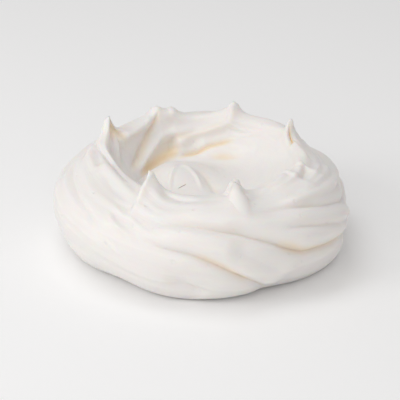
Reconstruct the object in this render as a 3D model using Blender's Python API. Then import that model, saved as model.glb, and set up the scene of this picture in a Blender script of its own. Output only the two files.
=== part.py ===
"""Meringue cookie piped and swirled as a small round nest with nine pulled tips on its rim.

One solid. Built in metres, +Z up, origin in the middle of the flat underside.
Sizes below are in millimetres and degrees. Degrees run anticlockwise seen from above, from +X.
"""
import math

import bpy
import numpy as np

# ---------------------------------------------------------------- how fine the solid is
AROUND = 96
ACROSS = 50
SAMPLES_PER_STEP = 4
CALM_PASSES = 12

# ---------------------------------------------------------------- sizes of the plain nest
BASE_RADIUS = 32.0
BELLY_RADIUS = 40.2
BELLY_HEIGHT = 11.5
SHOULDER_RADIUS = 38.2
SHOULDER_HEIGHT = 19.2
RIM_RADIUS = 25.3
RIM_THICKNESS = 1.8
RIM_HEIGHT = 27.1
FLOOR_RADIUS = 16.4
FLOOR_HEIGHT = 16.4
MOUND_RADIUS = 5.6
MOUND_HEIGHT = 22.0
MOUND_AT = (-6.0, 1.5)

# Lumps push a ring in or out: (degrees around, how far, how wide in degrees).
FOOT_LUMPS = ((228, -3.9, 20), (300, -2.3, 14), (346, 3.3, 24), (120, -1.5, 30), (40, -1.5, 25))
LOW_LUMPS = ((228, -2.6, 24), (200, -1.6, 20), (300, -1.8, 16), (348, 0.2, 22), (95, -4.2, 42))
BELLY_LUMPS = ((228, -1.0, 24), (192, -0.8, 26), (2, -4.3, 23), (95, -5.0, 44))
SHOULDER_LUMPS = ((192, 1.0, 30), (158, -1.0, 25), (6, -4.4, 25), (40, 0.4, 30), (95, -2.8, 38))
BROW_LUMPS = ((200, 0.6, 30), (158, -2.6, 22), (24, -1.4, 18), (335, 0.6, 25), (90, 0.5, 40))
BROW_DIPS = ((20, -1.2, 20),)
RIM_LUMPS = ((205, -3.3, 36), (164, 1.8, 14), (265, -1.8, 25), (30, 1.7, 40), (338, 1.6, 20))
RIM_DIPS = ((262, -3.8, 32), (205, -1.8, 34), (304, -1.6, 14), (95, -1.5, 50), (14, -1.2, 13))
THROAT_LUMPS = ((176, 1.4, 34),)
THROAT_DIPS = ((180, -2.2, 42),)
MOUND_LUMPS = ((330, -1.6, 70),)

# Pulled tips on the rim: name, degrees, rise, spread before, spread after, lean outwards, how much of
# the rise is the thin point, and by how many degrees the outer side of the tip stands later.
TIPS = (
    ("right front", 339.5, 1.6, 5.0, 2.5, 0.5, 0.6, 0.0),
    ("right front, small", 327.0, 1.1, 4.0, 2.5, 0.0, 0.6, 0.0),
    ("front", 292.0, 5.8, 4.0, 5.5, -0.3, 0.65, -3.0),
    ("front left", 234.8, 8.0, 1.7, 8.0, -0.2, 0.15, 4.0),
    ("left", 153.0, 6.0, 5.0, 8.0, 1.6, 0.45, 0.0),
    ("back left", 117.0, 4.0, 8.0, 7.0, 0.3, 0.15, 0.0),
    ("back left, second", 107.5, 1.7, 4.0, 5.0, 0.3, 0.2, 0.0),
    ("back", 69.5, 5.0, 7.0, 10.0, -0.2, 0.4, 0.0),
    ("right", 28.5, 4.8, 2.8, 4.0, 1.0, 0.6, 0.0),
)
# The wall below a tip is pulled along over at least this many degrees to each side.
SOFT_SPREAD = 5.0


# ---------------------------------------------------------------- the plain nest
def turn_from(azimuth, centre):
    """Degrees from centre to azimuth, between -180 and 180."""
    return (azimuth - centre + 180.0) % 360.0 - 180.0


def ring(azimuth, size, lumps=()):
    """One ring of the nest: a size all the way round, pushed in or out by its lumps."""
    result = np.full_like(azimuth, float(size))
    for centre, amount, spread in lumps:
        result = result + amount * np.exp(-(turn_from(azimuth, centre) / spread) ** 2)
    return result


def tip_shapes(azimuth, outside):
    """Sharp rise, soft rise and outward lean of all the tips; outside is 0 on the rim's inner side."""
    sharp = np.zeros_like(azimuth)
    soft = np.zeros_like(azimuth)
    lean = np.zeros_like(azimuth)
    for name, centre, rise, before, after, outwards, point, slant in TIPS:
        turn = turn_from(azimuth, centre + outside * slant)
        spread = np.where(turn < 0.0, before, after)
        away = np.sqrt(turn * turn + 0.25) - 0.5
        broad = (1.0 - point) * np.exp(-away / spread)
        pulled = broad + point * np.exp(-away / (0.28 * spread))
        sharp = sharp + rise * pulled
        soft = soft + rise * np.exp(-(turn / np.maximum(spread, SOFT_SPREAD)) ** 2)
        lean = lean + outwards * pulled
    return sharp, soft, lean


def section_rings(azimuth):
    """Control rings from the edge of the foot, up over the rim, to the top of the mound.

    Each is (radius, height, share of the mound's sideways offset).
    """
    sharp_in, soft_in, lean = tip_shapes(azimuth, 0.0)
    sharp_out = tip_shapes(azimuth, 1.0)[0]
    soft_out = tip_shapes(azimuth, 2.0)[1]
    dip = ring(azimuth, 0.0, RIM_DIPS)
    brow = ring(azimuth, 32.6, BROW_LUMPS) - 0.2 * soft_out
    brow_height = ring(azimuth, 24.4, BROW_DIPS) + 0.7 * dip + 0.15 * soft_out
    rim_out = ring(azimuth, RIM_RADIUS + RIM_THICKNESS / 2, RIM_LUMPS) + lean
    rim_in = ring(azimuth, RIM_RADIUS - RIM_THICKNESS / 2, RIM_LUMPS) + lean
    throat = ring(azimuth, 22.4, RIM_LUMPS + THROAT_LUMPS) + 0.6 * lean + 0.2 * soft_in
    throat_height = ring(azimuth, 23.6, THROAT_DIPS) + 0.8 * dip + 0.2 * soft_in
    wall = ring(azimuth, 19.6, ((200, -1.5, 45), (30, 1.0, 40)))
    wall_height = ring(azimuth, 18.8, ((190, -4.6, 60), (350, 1.7, 60)))
    floor_height = ring(azimuth, FLOOR_HEIGHT, ((190, -5.2, 60), (350, 2.4, 70)))
    slope_height = ring(azimuth, FLOOR_HEIGHT + 0.4, ((190, -3.6, 60), (350, 2.0, 70)))
    return (
        (ring(azimuth, BASE_RADIUS, FOOT_LUMPS), 0.0, 0.0),
        (ring(azimuth, BASE_RADIUS + 2.4, FOOT_LUMPS), 0.6, 0.0),
        (ring(azimuth, 38.0, LOW_LUMPS), 4.5, 0.0),
        (ring(azimuth, BELLY_RADIUS, BELLY_LUMPS), BELLY_HEIGHT, 0.0),
        (ring(azimuth, SHOULDER_RADIUS, SHOULDER_LUMPS), SHOULDER_HEIGHT + 0.3 * dip, 0.0),
        (brow, brow_height, 0.0),
        (rim_out, RIM_HEIGHT + 0.1 + dip + sharp_out, 0.0),
        (rim_in, RIM_HEIGHT - 0.1 + dip + sharp_in, 0.0),
        (throat, throat_height, 0.0),
        (wall, wall_height, 0.15),
        (ring(azimuth, FLOOR_RADIUS), floor_height, 0.5),
        (ring(azimuth, 12.6, MOUND_LUMPS), slope_height, 1.0),
        (ring(azimuth, MOUND_RADIUS, MOUND_LUMPS), MOUND_HEIGHT, 1.0),
        (ring(azimuth, 0.0), MOUND_HEIGHT, 1.0),
    )


def spline_shares(across, count):
    """How much each of count control rings counts at each place (clamped cubic spline)."""
    knots = np.concatenate([np.zeros(3), np.linspace(0.0, 1.0, count - 2), np.ones(3)])
    place = np.minimum(across, 1.0 - 1e-9)[:, None]
    share = ((place >= knots[:-1]) & (place < knots[1:])).astype(float)
    for degree in (1, 2, 3):
        low = knots[degree:-1] - knots[:-degree - 1]
        high = knots[degree + 1:] - knots[1:-degree]
        rise = (place - knots[:-degree - 1]) / np.where(low > 0.0, low, 1.0)
        fall = (knots[degree + 1:] - place) / np.where(high > 0.0, high, 1.0)
        rise = np.where(low > 0.0, rise, 0.0)
        fall = np.where(high > 0.0, fall, 0.0)
        share = rise * share[:, :-1] + fall * share[:, 1:]
    return share


def plain_nest(azimuth, across):
    """Points of the nest before any fold, as an array (places across, places around, 3)."""
    rings = section_rings(azimuth)
    radius = np.array([item[0] for item in rings])
    height = np.array([item[1] + 0.0 * azimuth for item in rings])
    offset = np.array([item[2] + 0.0 * azimuth for item in rings])
    share = spline_shares(across, len(rings))
    r = share @ radius
    z = share @ height
    o = share @ offset
    a = np.radians(azimuth)
    return np.stack([r * np.cos(a) + o * MOUND_AT[0], r * np.sin(a) + o * MOUND_AT[1], z], axis=-1)


# ---------------------------------------------------------------- the folds
def fold(name, line, fade, groove=(0, 1), ridge=(0, 1), inner_roll=(0, 1), outer_roll=(0, 1)):
    """One stroke of the spoon. Each size is (height or depth, width) in millimetres.

    line runs through (degrees around, per cent of the way: 0 foot, 50 rim, 100 middle).
    inner_roll stands on the line's middle side and outer_roll on its foot side.
    fade is the length over which the fold grows at its start and shrinks at its end.
    """
    sizes = {"groove": groove, "ridge": ridge, "inner_roll": inner_roll, "outer_roll": outer_roll}
    widths = [width for height, width in sizes.values() if height]
    return {"name": name, "line": line, "fade": fade, "reach": 5.0 * max(widths) + 2.0, **sizes}


FRONT_FOLDS = (
    fold("long fold",
         ((234, 34.8), (248, 34.2), (262, 34.2), (274, 32.6), (285, 29.6), (296, 26), (303, 22.6),
          (310, 19.6),
          (319, 18), (330, 16.6), (342, 14.6),
          (354, 12.6), (368, 12.2), (386, 14), (402, 17)),
         fade=(22, 16), inner_roll=(2.4, 3.8), outer_roll=(1.0, 2.4), groove=(0.9, 1.6)),
    fold("lower fold",
         ((238, 29), (254, 26.4), (265, 24.8), (270, 23), (276, 20.4), (281, 17.4), (287, 13.4),
          (292, 10.4), (301, 4)),
         fade=(18, 6), inner_roll=(1.8, 3.6), outer_roll=(0.8, 2.2), groove=(1.0, 1.6)),
    fold("upper fold", ((286, 36.4), (297, 35.6), (308, 34.4), (316, 32.4), (325, 29.6), (334, 27.4),
          (344, 24.6),
          (356, 21.6), (372, 20.4), (388, 22), (400, 24)),
         fade=(20, 12), inner_roll=(1.2, 2.8), outer_roll=(0.5, 2.5), groove=(0.7, 1.2)),
    fold("hollow under long fold", ((279, 26), (284, 24.6), (289, 22), (294, 19.2), (299, 16.4),
          (305, 13.6)),
         fade=(5, 6), groove=(0.9, 3.2)),
    fold("low front hollow", ((256, 16), (262, 13), (267, 10), (273, 6)),
         fade=(6, 4), groove=(1.6, 2.8)),
    fold("high streak", ((220, 40.4), (226, 39.2), (235, 38), (245, 35.6), (256, 34.8), (266, 34.6)),
         fade=(5, 8), ridge=(0.4, 0.7)),
    fold("upper streak", ((225, 36.6), (231, 35), (238, 33.2), (243, 31.2), (249, 29.8), (258, 28.6)),
         fade=(4, 8), ridge=(0.55, 0.6)),
    fold("middle streak", ((226, 34), (230, 32.2), (236, 29.5), (241, 27.5), (247, 24.6)),
         fade=(4, 8), ridge=(0.5, 0.55)),
    fold("lower streak", ((219, 31), (226, 28.2), (230, 25.4), (236, 22.4), (245, 18)),
         fade=(5, 8), ridge=(0.5, 0.6)),
    fold("hollow between streaks", ((226, 35), (231, 33.6), (237, 31.4), (243, 29.2), (250, 27.4)),
         fade=(5, 8), groove=(0.4, 1.2)),
    fold("front lip groove", ((243, 47.4), (252, 46), (262, 44.2), (273, 43.4)),
         fade=(4, 5), inner_roll=(0.4, 1.4), groove=(0.5, 1.0)),
    fold("front left tip foot", ((240, 47.5), (243, 45), (246, 42.6), (250, 40)),
         fade=(2, 4), ridge=(0.4, 1.8)),
    fold("front tip ridge", ((291.6, 48), (290.4, 46), (289.2, 43), (287.6, 39.4)),
         fade=(2, 4), ridge=(0.6, 0.9)),
    fold("front tip hollow", ((289.6, 48), (286.6, 45.8), (284, 43)),
         fade=(1.5, 2.5), groove=(1.2, 1.3)),
    fold("front tip right hollow", ((293.8, 48), (293.8, 45.6), (293.2, 43), (291.4, 39.6)),
         fade=(1.5, 3), groove=(0.6, 1.2)),
)

RIGHT_FOLDS = (
    fold("right middle fold", ((298, 28.8), (305, 28.1), (312, 27), (319, 25.3), (326, 23.6), (335, 21.2),
          (350, 17.8), (368, 16.4), (384, 17.4), (398, 20)),
         fade=(10, 10), inner_roll=(1.2, 2.2), outer_roll=(0.6, 1.6), groove=(0.5, 1.3)),
    fold("right upper notch", ((338, 26.3), (350, 23.0), (364, 20.8), (380, 21)),
         fade=(8, 8), groove=(1.3, 1.3)),
    fold("right lower notch", ((340, 15.2), (352, 12.8), (366, 12.2), (382, 13.6)),
         fade=(8, 8), groove=(0.8, 1.3)),
    fold("lower shoulder ridge", ((305, 36.2), (316, 34.8), (327, 33.6), (340, 32.4), (354, 30.4),
          (366, 30)),
         fade=(6, 6), ridge=(1.0, 1.2)),
    fold("shoulder groove", ((314, 33.8), (323, 32.6), (333, 31.2), (344, 29.8), (356, 29)),
         fade=(5, 6), groove=(0.6, 0.9)),
    fold("upper shoulder ridge", ((316, 37.2), (327, 36.7), (338, 36.6), (351, 35.3), (362, 34.6)),
         fade=(5, 5), ridge=(0.7, 1.0)),
    fold("fine shoulder ridge", ((322, 38.6), (333, 38.8), (343, 39.2), (354, 38.6)),
         fade=(4, 4), ridge=(0.4, 0.8)),
    fold("ridge to right front tip",
         ((302, 42.5), (310, 43.2), (318, 43.2), (326, 43.4), (333, 45), (337, 47.2), (339, 49.5)),
         fade=(8, 2), ridge=(0.7, 1.0)),
    fold("hollow right of right front tip", ((324, 39.2), (332, 41.6), (338.5, 45), (342, 48.4)),
         fade=(4, 2), groove=(0.8, 1.1)),
    fold("lip to small tip", ((298, 44.6), (307, 46), (314, 46.8), (320, 47.4), (326.5, 49.2)),
         fade=(5, 2), ridge=(0.6, 0.9)),
    fold("curled lip by the right tip", ((-8, 46.2), (4, 48.4), (14, 49.4), (24, 49.4)),
         fade=(3, 3), ridge=(0.6, 1.2)),
    fold("groove outside the curled lip", ((-8, 43.6), (6, 44.8), (18, 46), (29, 46)),
         fade=(3, 3), groove=(0.5, 0.9)),
    fold("hollow outside the right tip", ((31, 46), (29.5, 43.6), (28.8, 41)),
         fade=(1.5, 2), groove=(1.0, 1.2)),
)

LEFT_FOLDS = (
    fold("left long crease", ((170, 33), (182, 33.8), (194, 34.2), (206, 33), (216, 31), (225, 28.4),
          (231, 24.8), (240, 19)),
         fade=(8, 10), inner_roll=(0.5, 2.4), outer_roll=(0.4, 2.4), groove=(0.6, 1.5)),
    fold("left rim groove", ((163, 41), (171, 43.6), (181, 46.2), (194, 47.3), (208, 47.6), (221, 46.8)),
         fade=(3, 6), outer_roll=(0.7, 1.2), groove=(0.7, 0.8)),
    fold("left dimple", ((169, 41.4), (174, 42.8), (180, 43.5), (187, 43.2), (194, 41.8)),
         fade=(2, 3), groove=(0.8, 0.7)),
    fold("ridge beside the dimple", ((168, 39), (176, 39.6), (186, 40.8), (196, 40.4)),
         fade=(3, 4), ridge=(0.5, 0.8)),
    fold("left upper ridge", ((186, 45.6), (200, 44.8), (212, 44.4), (224, 43.0), (236, 40.6), (244, 40)),
         fade=(5, 4), ridge=(0.7, 1.3)),
    fold("left second fold", ((196, 43), (206, 42.4), (218, 41), (227, 39.6), (236, 37.8), (247, 38)),
         fade=(6, 6), groove=(0.7, 1.4)),
    fold("left bulge", ((212, 27), (228, 23), (243, 18), (262, 11)),
         fade=(10, 10), ridge=(0.7, 4.0)),
)

BACK_FOLDS = (
    fold("right back fold", ((32, 34), (44, 30.6), (60, 25), (78, 20), (98, 18)),
         fade=(10, 14), inner_roll=(1.6, 3.2), outer_roll=(0.3, 2.0), groove=(1.2, 1.6)),
    fold("right back low fold", ((-4, 12), (16, 12), (40, 9), (60, 4)),
         fade=(8, 6), inner_roll=(0.9, 2.6), groove=(0.9, 1.6)),
    fold("back fold", ((62, 38), (86, 36), (112, 31), (136, 24), (158, 17), (182, 12)),
         fade=(14, 14), inner_roll=(1.6, 3.0), outer_roll=(0.4, 2.0), groove=(1.3, 1.5)),
    fold("back shoulder fold", ((92, 42), (112, 41), (134, 38), (156, 37), (180, 37)),
         fade=(8, 8), inner_roll=(0.8, 1.8), outer_roll=(0.2, 1.5), groove=(0.7, 0.9)),
    fold("back low fold", ((96, 22), (118, 16), (140, 9), (156, 4)),
         fade=(10, 6), inner_roll=(1.0, 2.8), groove=(0.9, 1.6)),
    fold("right shoulder fold", ((24, 42), (44, 40), (66, 39), (86, 41)),
         fade=(6, 6), inner_roll=(0.8, 1.8), outer_roll=(0.2, 1.5), groove=(0.6, 0.9)),
)

INNER_FOLDS = (
    fold("hollow behind left tip", ((145, 54.4), (151, 56.4), (155, 59), (158, 62)),
         fade=(2, 3), groove=(1.3, 1.2)),
    fold("left inner ridge", ((118, 52), (124, 53), (132, 54.4), (138, 55.6), (145, 57.2),
          (151, 60.6), (156, 64.4), (161, 68)),
         fade=(3, 5), ridge=(1.3, 1.1)),
    fold("left inner groove", ((112, 51), (119, 54.6), (125, 58.2), (131, 62.4), (138, 66.6),
          (147, 70.4), (156, 73)),
         fade=(4, 5), groove=(1.3, 1.2)),
    fold("long inner ridge", ((88, 58), (97, 60.4), (105, 62.8), (112, 64.4), (120, 66), (128, 68),
          (136, 71), (147, 76)),
         fade=(8, 4), ridge=(1.3, 1.4)),
    fold("back sweep groove", ((66, 56.4), (80, 59.0), (90, 61.4), (101, 63.6), (109, 66.0),
          (119, 68.4), (130, 70.4)),
         fade=(6, 6), groove=(1.0, 1.6)),
    fold("deep pocket", ((100, 69), (108, 70.4), (116, 72), (124, 73.6), (136, 75.2), (150, 76)),
         fade=(4, 6), groove=(0.6, 2.4)),
    fold("back roll", ((50, 55), (60, 57), (70, 59), (80, 60.4), (90, 62.4), (98, 64.8), (104, 67.6),
          (108, 70)),
         fade=(12, 2), ridge=(1.5, 1.8)),
    fold("end of back roll", ((106, 64.6), (109, 66.6), (111, 69.6), (111, 73)),
         fade=(2, 2), groove=(0.8, 1.0)),
    fold("back roll underside",
         ((58, 66), (66, 68), (74, 69.8), (80, 71), (85, 73), (91, 74.8), (100, 75), (110, 74)),
         fade=(6, 6), inner_roll=(0.7, 2.2), groove=(1.0, 1.2)),
    fold("upper shine ridge", ((42, 57.2), (50, 59.2), (58, 60.5), (67, 61.5), (75, 60.6)),
         fade=(4, 3), ridge=(0.4, 0.55)),
    fold("lower shine ridge", ((44, 59.4), (54, 62.3), (62, 64.5), (72, 64.8)),
         fade=(4, 3), ridge=(0.35, 0.55)),
    fold("right tip crease", ((28.5, 50.4), (25, 51.8), (21.5, 53.8), (17, 55.8)),
         fade=(1.5, 2.5), outer_roll=(0.3, 1.6), groove=(1.2, 0.9)),
    fold("back tip dimple", ((72, 52), (70, 55), (67, 59)),
         fade=(1.5, 2), groove=(0.5, 1.3)),
)


# Lines here run through (x, y) in millimetres.
FLOOR_FOLDS = (
    fold("plateau ridge", ((-1, 19), (1.1, 20.4), (4, 20.0), (8, 19.2), (12, 17.8), (16, 15)),
         fade=(3, 5), ridge=(1.0, 1.9)),
    fold("plateau groove", ((-0.5, 16.6), (3.2, 16.7), (6, 16.4), (9.5, 15.3), (14, 13.6)),
         fade=(7, 8), groove=(0.9, 1.4)),
    fold("curl ridge",
         ((-8, -8), (-7.8, -4), (-7.0, -0.2), (-5.4, 1.6), (-3.4, 1.6), (-1.9, -0.3), (-0.4, -3.4),
          (0.6, -7.2)),
         fade=(3, 3), ridge=(0.45, 0.6)),
    fold("curl groove", ((-1.6, 3), (0.2, 0.8), (1.6, -1.6), (3.2, -5), (4.4, -9)),
         fade=(3, 3), groove=(0.8, 1.4)),
)
WALL_FOLDS = FRONT_FOLDS + RIGHT_FOLDS + LEFT_FOLDS + BACK_FOLDS + INNER_FOLDS


def smooth_line(points, samples=48):
    """Samples of a smooth line through the given points."""
    p = np.array(points, float)
    p = np.vstack([2 * p[0] - p[1], p, 2 * p[-1] - p[-2]])
    t = np.linspace(0.0, len(p) - 3 - 1e-9, samples)
    k = t.astype(int)
    f = (t - k)[:, None]
    a, b, c, d = p[k], p[k + 1], p[k + 2], p[k + 3]
    bend = 2 * a - 5 * b + 4 * c - d
    twist = 3 * b - a - 3 * c + d
    return 0.5 * (2 * b + (c - a) * f + bend * f ** 2 + twist * f ** 3)


def smooth_step(x):
    """0 below 0, 1 above 1, an easy curve between."""
    x = np.clip(x, 0.0, 1.0)
    return x * x * (3.0 - 2.0 * x)


def roll_shape(distance, width):
    """A round roll that starts at the line and stands on its positive side."""
    x = np.maximum(distance, 0.0) / width
    return x * np.exp(1.0 - x)


def groove_shape(distance, width):
    """A narrow groove along the line."""
    return np.exp(-(np.sqrt(distance * distance + 0.16) - 0.4) / width)


def ridge_shape(distance, width):
    """A round ridge along the line."""
    return np.exp(-(distance / width) ** 2)


def one_fold(offset_x, offset_y, line_x, line_y, stroke):
    """Rise of one fold, from the offset of each point to each line sample."""
    near = np.argmin(offset_x ** 2 + offset_y ** 2, axis=1)
    row = np.arange(len(near))
    run_x = np.gradient(line_x)
    run_y = np.gradient(line_y)
    step = np.hypot(run_x, run_y)
    run_x = run_x / step
    run_y = run_y / step
    length = np.concatenate([[0.0], np.cumsum(0.5 * (step[1:] + step[:-1]))])
    dx = offset_x[row, near]
    dy = offset_y[row, near]
    distance = run_x[near] * dy - run_y[near] * dx
    along = length[near] + run_x[near] * dx + run_y[near] * dy
    fade_in, fade_out = stroke["fade"]
    amount = smooth_step(along / fade_in) * smooth_step((length[-1] - along) / fade_out)
    rise = stroke["inner_roll"][0] * roll_shape(distance, stroke["inner_roll"][1])
    rise = rise + stroke["outer_roll"][0] * roll_shape(-distance, stroke["outer_roll"][1])
    rise = rise + stroke["ridge"][0] * ridge_shape(distance, stroke["ridge"][1])
    rise = rise - stroke["groove"][0] * groove_shape(distance, stroke["groove"][1])
    return amount * rise


def calmed(field, passes):
    """A field over the nest, each value averaged with its neighbours a number of times."""
    for turn in range(passes):
        field = 0.25 * np.roll(field, 1, axis=1) + 0.5 * field + 0.25 * np.roll(field, -1, axis=1)
        padded = np.concatenate([field[:1], field, field[-1:]])
        field = 0.25 * padded[:-2] + 0.5 * field + 0.25 * padded[2:]
    return field


def outward(azimuth, across):
    """The direction straight out of the plain nest's skin."""
    around_run = plain_nest(azimuth + 0.5, across) - plain_nest(azimuth - 0.5, across)
    later = np.clip(across + 0.002, 0.0, 1.0)
    sooner = np.clip(across - 0.002, 0.0, 1.0)
    across_run = plain_nest(azimuth, later) - plain_nest(azimuth, sooner)
    normal = np.cross(around_run, across_run)
    normal = normal / np.maximum(np.linalg.norm(normal, axis=-1, keepdims=True), 1e-9)
    normal[across >= 0.998] = (0.0, 0.0, 1.0)
    return normal


def mean_section():
    """Places along the section, with their mean length from the foot and mean radius."""
    place = np.linspace(0.0, 1.0, 201)
    sample = plain_nest(np.arange(0.0, 360.0, 10.0), place)
    steps = np.linalg.norm(np.diff(sample, axis=0), axis=-1).mean(axis=1)
    length = np.concatenate([[0.0], np.cumsum(steps)])
    radius = np.hypot(sample[..., 0], sample[..., 1]).mean(axis=1)
    return place, length, radius


# Ripples all over: height and distance apart in millimetres, turns round the nest, start in radians.
RIPPLES = (
    (0.09, 7.3, 2, 0.4),
    (0.08, 4.9, -1, 2.1),
    (0.06, 3.4, 3, 4.0),
    (0.05, 2.6, -2, 1.2),
)


def press_wall_folds(azimuth, across, lift):
    """Adds the rise of every fold of the walls to lift."""
    place, length, radius = mean_section()
    grid_around, grid_across = np.meshgrid(azimuth, across)
    point_around = grid_around.ravel()
    point_length = np.interp(grid_across.ravel(), place, length)
    for stroke in WALL_FOLDS:
        line = smooth_line(stroke["line"])
        line_length = np.interp(line[:, 1] / 100.0, place, length)
        line_radius = np.interp(line[:, 1] / 100.0, place, radius)
        reach = stroke["reach"]
        centre = 0.5 * (line[0, 0] + line[-1, 0])
        turn = turn_from(point_around, centre)
        half = 0.5 * (line[:, 0].max() - line[:, 0].min())
        close = np.abs(turn) < half + np.degrees(reach / line_radius.min())
        close &= point_length > line_length.min() - reach
        close &= point_length < line_length.max() + reach
        pick = np.where(close)[0]
        offset_x = np.radians(turn[pick][:, None] - (line[:, 0] - centre)) * line_radius
        offset_y = point_length[pick][:, None] - line_length
        mid_radius = 0.5 * (line_radius[1:] + line_radius[:-1])
        line_x = np.concatenate([[0.0], np.cumsum(np.radians(np.diff(line[:, 0])) * mid_radius)])
        lift[pick] += one_fold(offset_x, offset_y, line_x, line_length, stroke)


def press_floor_folds(points, across, lift):
    """Adds the rise of every fold of the floor and the mound to lift."""
    flat = points.reshape(-1, 3)
    inside = np.repeat(across > 0.6, points.shape[1])
    for stroke in FLOOR_FOLDS:
        line = smooth_line(stroke["line"])
        low = line.min(axis=0) - stroke["reach"]
        high = line.max(axis=0) + stroke["reach"]
        close = inside & (flat[:, :2] > low).all(axis=1) & (flat[:, :2] < high).all(axis=1)
        pick = np.where(close)[0]
        offset_x = flat[pick, 0][:, None] - line[:, 0]
        offset_y = flat[pick, 1][:, None] - line[:, 1]
        lift[pick] += one_fold(offset_x, offset_y, line[:, 0], line[:, 1], stroke)


def combed(azimuth, across):
    """Low, long ripples that follow the stroke, as a foam pulled by a spoon shows all over."""
    around = np.radians(azimuth)[None, :]
    place, length, radius = mean_section()
    down = np.interp(across, place, length)[:, None]
    drift = 9.0 * np.cos(around - math.radians(155.0))
    stroke = down - drift * np.clip(1.0 - down / 46.0, 0.0, 1.0)
    ripple = np.zeros((len(across), len(azimuth)))
    for height, wave, turns, start in RIPPLES:
        ripple = ripple + height * np.sin(math.tau * stroke / wave + turns * around + start)
    return ripple * (1.0 - 0.8 * smooth_step((across - 0.52) / 0.14))[:, None]


def folded_nest(azimuth, across, calm_passes=0):
    """Points of the finished nest, as an array (places across, places around, 3)."""
    points = plain_nest(azimuth, across)
    lift = np.zeros(points.shape[0] * points.shape[1])
    press_wall_folds(azimuth, across, lift)
    press_floor_folds(points, across, lift)
    lift = lift.reshape(points.shape[:2]) + combed(azimuth, across)
    lift = calmed(lift, calm_passes)
    lift[-1] = lift[-1].mean()
    grip = smooth_step(points[..., 2] / 1.5)
    points = points + outward(azimuth, across) * (lift * grip)[..., None]
    points[..., 2] = np.maximum(points[..., 2], 0.0)
    return points


# ---------------------------------------------------------------- the solid
MM = 0.001
NODE = "meringue"


def cream_material():
    """Dried egg white and sugar: nearly white, half glossy."""
    material = bpy.data.materials.new("baked meringue")
    material.use_nodes = True
    shader = material.node_tree.nodes["Principled BSDF"]
    shader.inputs["Base Color"].default_value = (0.86, 0.83, 0.79, 1.0)
    shader.inputs["Roughness"].default_value = 0.45
    shader.inputs["Metallic"].default_value = 0.0
    return material


def build_meringue():
    """The closed solid: folded skin from foot to mound, closed by one flat underside."""
    around_count = AROUND * SAMPLES_PER_STEP
    azimuth = np.arange(around_count) * 360.0 / around_count
    across = np.linspace(0.0, 1.0, ACROSS * SAMPLES_PER_STEP + 1)
    points = folded_nest(azimuth, across, CALM_PASSES)
    points = points[::SAMPLES_PER_STEP, ::SAMPLES_PER_STEP]
    low = points.min(axis=(0, 1))
    high = points.max(axis=(0, 1))
    points[..., 0] -= 0.5 * (low[0] + high[0])
    points[..., 1] -= 0.5 * (low[1] + high[1])
    verts = (points[:-1].reshape(-1, 3) * MM).tolist()
    centre = len(verts)
    verts.append((points[-1, 0] * MM).tolist())
    faces = []
    for row in range(ACROSS - 1):
        for column in range(AROUND):
            beside = (column + 1) % AROUND
            first = row * AROUND
            above = first + AROUND
            faces.append((first + column, first + beside, above + beside))
            faces.append((first + column, above + beside, above + column))
    last = (ACROSS - 1) * AROUND
    for column in range(AROUND):
        faces.append((last + column, last + (column + 1) % AROUND, centre))
    faces.append(tuple(reversed(range(AROUND))))
    mesh = bpy.data.meshes.new(NODE)
    mesh.from_pydata(verts, [], faces)
    mesh.update()
    mesh.materials.append(cream_material())
    body = bpy.data.objects.new(NODE, mesh)
    bpy.context.scene.collection.objects.link(body)
    return body


for old in list(bpy.data.objects):
    bpy.data.objects.remove(old, do_unlink=True)
build_meringue()
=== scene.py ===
# %% [markdown]
# # A meringue nest
# This lesson makes one baked meringue cookie: a spooned nest, about 78 mm across, with a folded wall,
# nine pulled tips on its rim and a low mound in its hollow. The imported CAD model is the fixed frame. It
# says where the cookie stands and how large it is. The piece made here takes the CAD solid's place, with
# the same shape drawn much finer and the look of baked sugar foam.
# Points are in millimetres while the shape is worked out, and in metres once it is a mesh.

# %% Load the frame
import math

import bpy
import numpy as np
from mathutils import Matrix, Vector


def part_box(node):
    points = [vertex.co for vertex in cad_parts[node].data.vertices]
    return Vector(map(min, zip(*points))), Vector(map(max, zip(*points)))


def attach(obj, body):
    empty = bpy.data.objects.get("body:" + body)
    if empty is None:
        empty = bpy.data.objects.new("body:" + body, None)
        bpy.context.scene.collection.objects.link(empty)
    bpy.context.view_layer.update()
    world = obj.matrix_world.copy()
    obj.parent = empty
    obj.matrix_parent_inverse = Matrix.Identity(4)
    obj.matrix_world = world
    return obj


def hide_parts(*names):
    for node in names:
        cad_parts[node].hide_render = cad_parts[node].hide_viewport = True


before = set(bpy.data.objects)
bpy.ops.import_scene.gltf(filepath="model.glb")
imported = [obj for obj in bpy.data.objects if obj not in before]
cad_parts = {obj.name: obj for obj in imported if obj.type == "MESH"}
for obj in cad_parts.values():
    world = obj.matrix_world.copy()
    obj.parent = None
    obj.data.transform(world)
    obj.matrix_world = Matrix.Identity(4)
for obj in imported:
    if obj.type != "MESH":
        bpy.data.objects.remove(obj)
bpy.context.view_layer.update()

MM = 0.001
NODE = "meringue"
box_low, box_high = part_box(NODE)


# %% [markdown]
# ## The plain nest
# A meringue nest is stiff egg-white foam, dropped on paper and turned into a bowl with the back of a
# spoon. Under all its folds it is a round, fat ring with a flat foot, a belly, a rim and a low mound
# in the hollow. It could be sculpted by hand from a sphere. A drawn section turned about an axis is
# easier to keep to size, so the first cells set the section's sizes in millimetres and degrees.
# Degrees run anticlockwise seen from above, from +X.

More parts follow.
